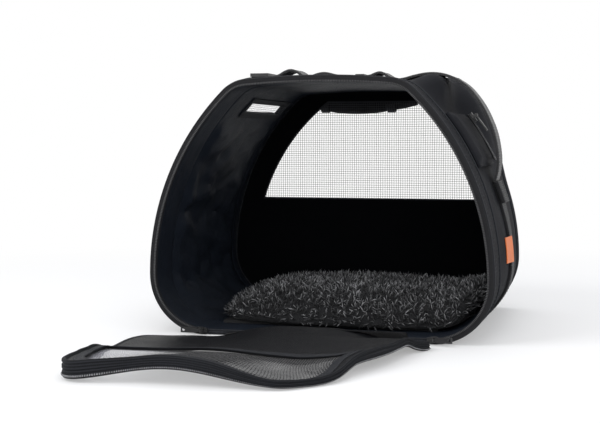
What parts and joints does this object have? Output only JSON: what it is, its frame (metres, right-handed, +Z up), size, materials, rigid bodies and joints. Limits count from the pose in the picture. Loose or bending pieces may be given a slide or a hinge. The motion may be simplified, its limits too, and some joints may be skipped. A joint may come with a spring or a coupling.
{
  "type": "soft-sided pet carrier",
  "caption": "Soft-sided pet carrier with bowed ends and a crowned roof, an arched zipped front door folded down on the floor, mesh windows, a plush pad and a webbing carry strap.",
  "frame": {"origin": "on the floor, under the middle of the carrier's base", "axes": "+X to the right seen from the front, +Y from the open front to the rear wall, +Z up"},
  "size_m": [0.4159, 0.5982, 0.2962],
  "materials": {
    "shell": "black woven nylon, padded, with a faint sheen",
    "board": "matt stiffening board",
    "plush": "curly grey pile",
    "spring_steel": "flat spring strip inside the rim",
    "binding": "folded woven tape",
    "mesh": "open knitted netting",
    "webbing": "ribbed nylon webbing",
    "zip_tape": "woven zip tape",
    "zip_coil": "moulded coil",
    "zip_metal": "black enamel",
    "buckle": "moulded, satin",
    "tag": "blank orange woven tab"
  },
  "bodies": {
    "carrier": {"base_panel": "shell", "base_board": "board", "plush_pad": "plush", "left_end_panel": "shell", "right_end_panel": "shell", "roof_panel": "shell", "front_band": "shell", "front_hoop": "spring_steel", "front_binding": "binding", "rear_band": "shell", "rear_hoop": "spring_steel", "rear_binding": "binding", "rear_panel": "shell", "rear_mesh": "mesh", "rear_window_tape": "binding", "curtain_hem": "shell", "curtain_roll": "shell", "curtain_ties": "binding", "left_vent_mesh": "mesh", "left_vent_tape": "binding", "pocket_panel": "shell", "pocket_zip_tape": "zip_tape", "pocket_zip_coil": "zip_coil", "left_webbing": "webbing", "right_webbing": "webbing", "left_anchor_patch": "shell", "right_anchor_patch": "shell", "side_tag": "tag", "carry_strap": "webbing", "strap_adjuster": "buckle", "strap_sleeve": "webbing", "strap_keeper": "webbing", "frame_zip_tape": "zip_tape", "frame_zip_coil": "zip_coil", "hinge_tape": "binding"},
    "door": {"door_hinge_hem": "shell", "door_lower_panel": "shell", "door_lower_edge": "shell", "door_lower_zip": "zip_tape"},
    "door_tip": {"door_upper_frame": "shell", "door_mesh": "mesh", "door_window_tape": "binding", "door_upper_edge": "shell", "door_upper_zip": "zip_tape"},
    "left_slider": {"left_slider": "zip_metal"},
    "left_pull": {"left_pull": "zip_metal"},
    "right_slider": {"right_slider": "zip_metal"},
    "right_pull": {"right_pull": "zip_metal"},
    "pocket_slider": {"pocket_slider": "zip_metal"},
    "pocket_pull": {"pocket_pull": "zip_metal"}
  },
  "joints": [
    {"name": "door_swing", "type": "hinge", "parent": "carrier", "child": "door", "pos_m": [0, -0.1585, 0.008], "axis": [-1, 0, 0], "range_deg": [0, 90]},
    {"name": "door_straighten", "type": "slide", "parent": "door", "child": "door_tip", "axis": [1, 0, 0], "range_m": [0, 0.0521]},
    {"name": "right_zip_run", "type": "hinge", "parent": "carrier", "child": "right_slider", "pos_m": [0.123, -0.1535, 0.065], "axis": [0, -1, 0], "range_deg": [0, 84]},
    {"name": "left_zip_run", "type": "hinge", "parent": "carrier", "child": "left_slider", "pos_m": [-0.123, -0.1535, 0.065], "axis": [0, 1, 0], "range_deg": [0, 84]},
    {"name": "right_pull_swing", "type": "hinge", "parent": "right_slider", "child": "right_pull", "pos_m": [0.1261, -0.1588, 0.00588], "axis": [0.0523, 0, -0.9986], "range_deg": [-15, 165]},
    {"name": "left_pull_swing", "type": "hinge", "parent": "left_slider", "child": "left_pull", "pos_m": [-0.1261, -0.1588, 0.00588], "axis": [0.0523, 0, 0.9986], "range_deg": [-15, 165]},
    {"name": "pocket_zip_run", "type": "hinge", "parent": "carrier", "child": "pocket_slider", "pos_m": [-0.09178, 0.039, 0.065], "axis": [0, 1, 0], "range_deg": [0, 9]},
    {"name": "pocket_pull_swing", "type": "hinge", "parent": "pocket_slider", "child": "pocket_pull", "pos_m": [0.146, 0.039, 0.24125], "axis": [0, -1, 0], "range_deg": [0, 150]}
  ],
  "couplings": [
    {"joint": "door_straighten", "follows": "door_swing", "m_per_rad": 0.0331}
  ]
}
